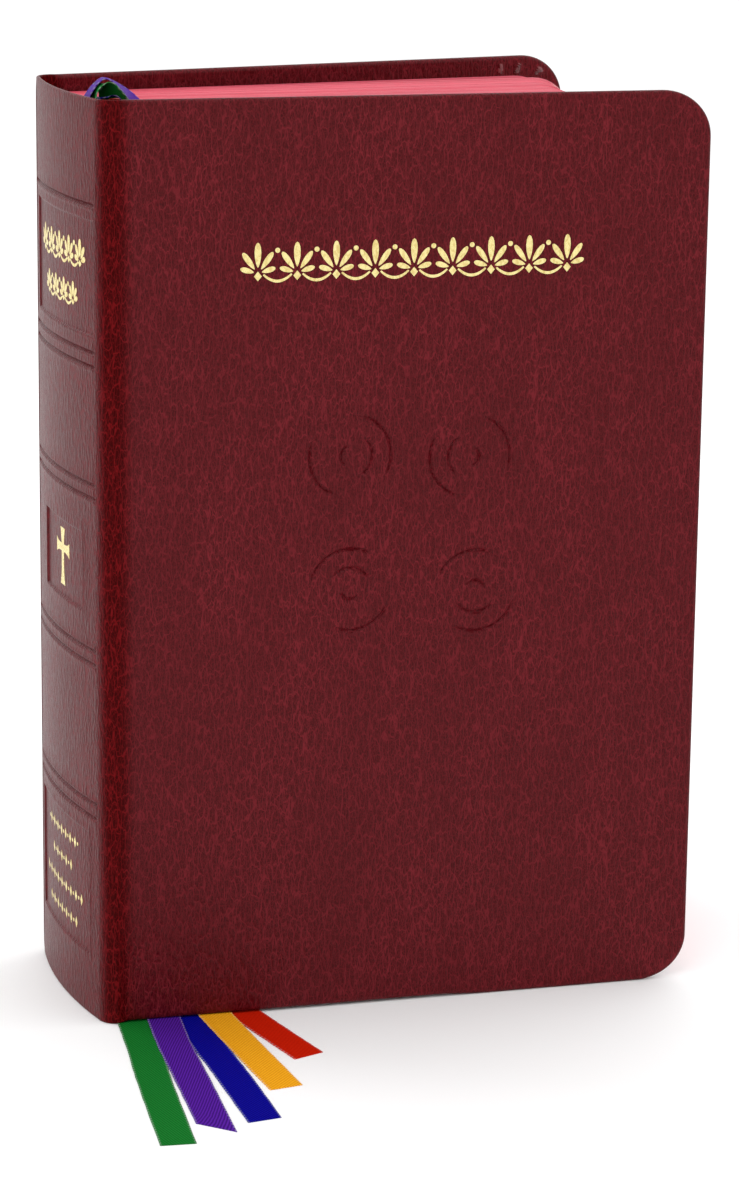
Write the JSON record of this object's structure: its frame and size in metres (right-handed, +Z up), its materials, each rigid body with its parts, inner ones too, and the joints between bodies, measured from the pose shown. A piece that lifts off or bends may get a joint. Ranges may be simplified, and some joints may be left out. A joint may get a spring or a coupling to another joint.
{
  "type": "prayer book",
  "caption": "Thick flexible leather-covered prayer book standing slightly open, with a rounded tooled spine, stained page edges and satin ribbon markers.",
  "frame": {"origin": "centre of the base of the book's box, on the surface it stands on, without the ribbon markers", "axes": "+Z up along the spine, -Y out of the front cover, -X out of the rounded spine"},
  "size_m": [0.1232, 0.1285, 0.1815],
  "materials": {
    "leather": "satin, pressed grain",
    "board": "matte",
    "page_block": "stained edges, matte",
    "endpaper": "matte",
    "thread": "waxed linen",
    "mull": "open weave gauze",
    "kraft": "matte",
    "band": "woven, two colours",
    "ribbon_green": "satin",
    "ribbon_purple": "satin",
    "ribbon_blue": "satin",
    "ribbon_gold": "satin",
    "ribbon_red": "satin"
  },
  "bodies": {
    "root": {"spine_leather": "leather", "spine_stiffener": "board", "sewing_threads": "thread", "mull": "mull", "spine_lining": "kraft", "headband": "band", "tailband": "band", "ribbon_header": "mull", "ribbon_green": "ribbon_green", "ribbon_purple": "ribbon_purple", "ribbon_blue": "ribbon_blue", "ribbon_gold": "ribbon_gold", "ribbon_red": "ribbon_red", "page_section_04": "page_block", "page_section_05": "page_block", "page_section_06": "page_block", "page_section_07": "page_block", "page_section_08": "page_block", "page_section_09": "page_block", "page_section_10": "page_block", "page_section_11": "page_block", "page_section_12": "page_block", "page_section_13": "page_block", "page_section_14": "page_block", "page_section_15": "page_block"},
    "front_cover": {"front_cover_leather": "leather", "front_cover_board": "board", "front_pastedown": "endpaper"},
    "front_leaf": {"front_flyleaf": "endpaper"},
    "back_cover": {"back_cover_leather": "leather", "back_cover_board": "board", "back_pastedown": "endpaper"},
    "back_leaf": {"back_flyleaf": "endpaper"},
    "gathering_01": {"page_section_01": "page_block"},
    "gathering_02": {"page_section_02": "page_block"},
    "gathering_03": {"page_section_03": "page_block"},
    "gathering_16": {"page_section_16": "page_block"},
    "gathering_17": {"page_section_17": "page_block"},
    "gathering_18": {"page_section_18": "page_block"},
    "gathering_19": {"page_section_19": "page_block"},
    "gathering_20": {"page_section_20": "page_block"}
  },
  "joints": [
    {"name": "front_cover_hinge", "type": "hinge", "parent": "root", "child": "front_cover", "pos_m": [-0.05505, -0.0288, 0.089], "axis": [0, 0, -1], "range_deg": [-2.6, 165]},
    {"name": "back_cover_hinge", "type": "hinge", "parent": "root", "child": "back_cover", "pos_m": [-0.05505, 0.01978, 0.089], "axis": [0, 0, 1], "range_deg": [-6.2, 160]},
    {"name": "front_leaf_hinge", "type": "hinge", "parent": "root", "child": "front_leaf", "pos_m": [-0.05435, -0.02644, 0.089], "axis": [0, 0, -1], "range_deg": [-1.1, 69.31]},
    {"name": "back_leaf_hinge", "type": "hinge", "parent": "root", "child": "back_leaf", "pos_m": [-0.05435, 0.01721, 0.089], "axis": [0, 0, 1], "range_deg": [-2.61, 67.21]},
    {"name": "gathering_01_hinge", "type": "hinge", "parent": "root", "child": "gathering_01", "pos_m": [-0.05493, -0.02503, 0.089], "axis": [0, 0, -1], "range_deg": [-0.21, 12.88]},
    {"name": "gathering_02_hinge", "type": "hinge", "parent": "root", "child": "gathering_02", "pos_m": [-0.05507, -0.02296, 0.089], "axis": [0, 0, -1], "range_deg": [-0.16, 9.58]},
    {"name": "gathering_03_hinge", "type": "hinge", "parent": "root", "child": "gathering_03", "pos_m": [-0.05519, -0.02089, 0.089], "axis": [0, 0, -1], "range_deg": [-0.1, 5.79]},
    {"name": "gathering_16_hinge", "type": "hinge", "parent": "root", "child": "gathering_16", "pos_m": [-0.0554, 0.00752, 0.089], "axis": [0, 0, 1], "range_deg": [-0.1, 2.41]},
    {"name": "gathering_17_hinge", "type": "hinge", "parent": "root", "child": "gathering_17", "pos_m": [-0.0553, 0.00959, 0.089], "axis": [0, 0, 1], "range_deg": [-0.18, 4.49]},
    {"name": "gathering_18_hinge", "type": "hinge", "parent": "root", "child": "gathering_18", "pos_m": [-0.05519, 0.01166, 0.089], "axis": [0, 0, 1], "range_deg": [-0.27, 6.73]},
    {"name": "gathering_19_hinge", "type": "hinge", "parent": "root", "child": "gathering_19", "pos_m": [-0.05507, 0.01373, 0.089], "axis": [0, 0, 1], "range_deg": [-0.35, 8.81]},
    {"name": "gathering_20_hinge", "type": "hinge", "parent": "root", "child": "gathering_20", "pos_m": [-0.05493, 0.0158, 0.089], "axis": [0, 0, 1], "range_deg": [-0.43, 10.89]}
  ],
  "couplings": [
    {"joint": "front_leaf_hinge", "follows": "front_cover_hinge", "ratio": 0.42},
    {"joint": "back_leaf_hinge", "follows": "back_cover_hinge", "ratio": 0.42},
    {"joint": "gathering_01_hinge", "follows": "front_cover_hinge", "ratio": 0.078},
    {"joint": "gathering_02_hinge", "follows": "front_cover_hinge", "ratio": 0.058},
    {"joint": "gathering_03_hinge", "follows": "front_cover_hinge", "ratio": 0.035},
    {"joint": "gathering_16_hinge", "follows": "back_cover_hinge", "ratio": 0.015},
    {"joint": "gathering_17_hinge", "follows": "back_cover_hinge", "ratio": 0.028},
    {"joint": "gathering_18_hinge", "follows": "back_cover_hinge", "ratio": 0.042},
    {"joint": "gathering_19_hinge", "follows": "back_cover_hinge", "ratio": 0.055},
    {"joint": "gathering_20_hinge", "follows": "back_cover_hinge", "ratio": 0.068}
  ]
}
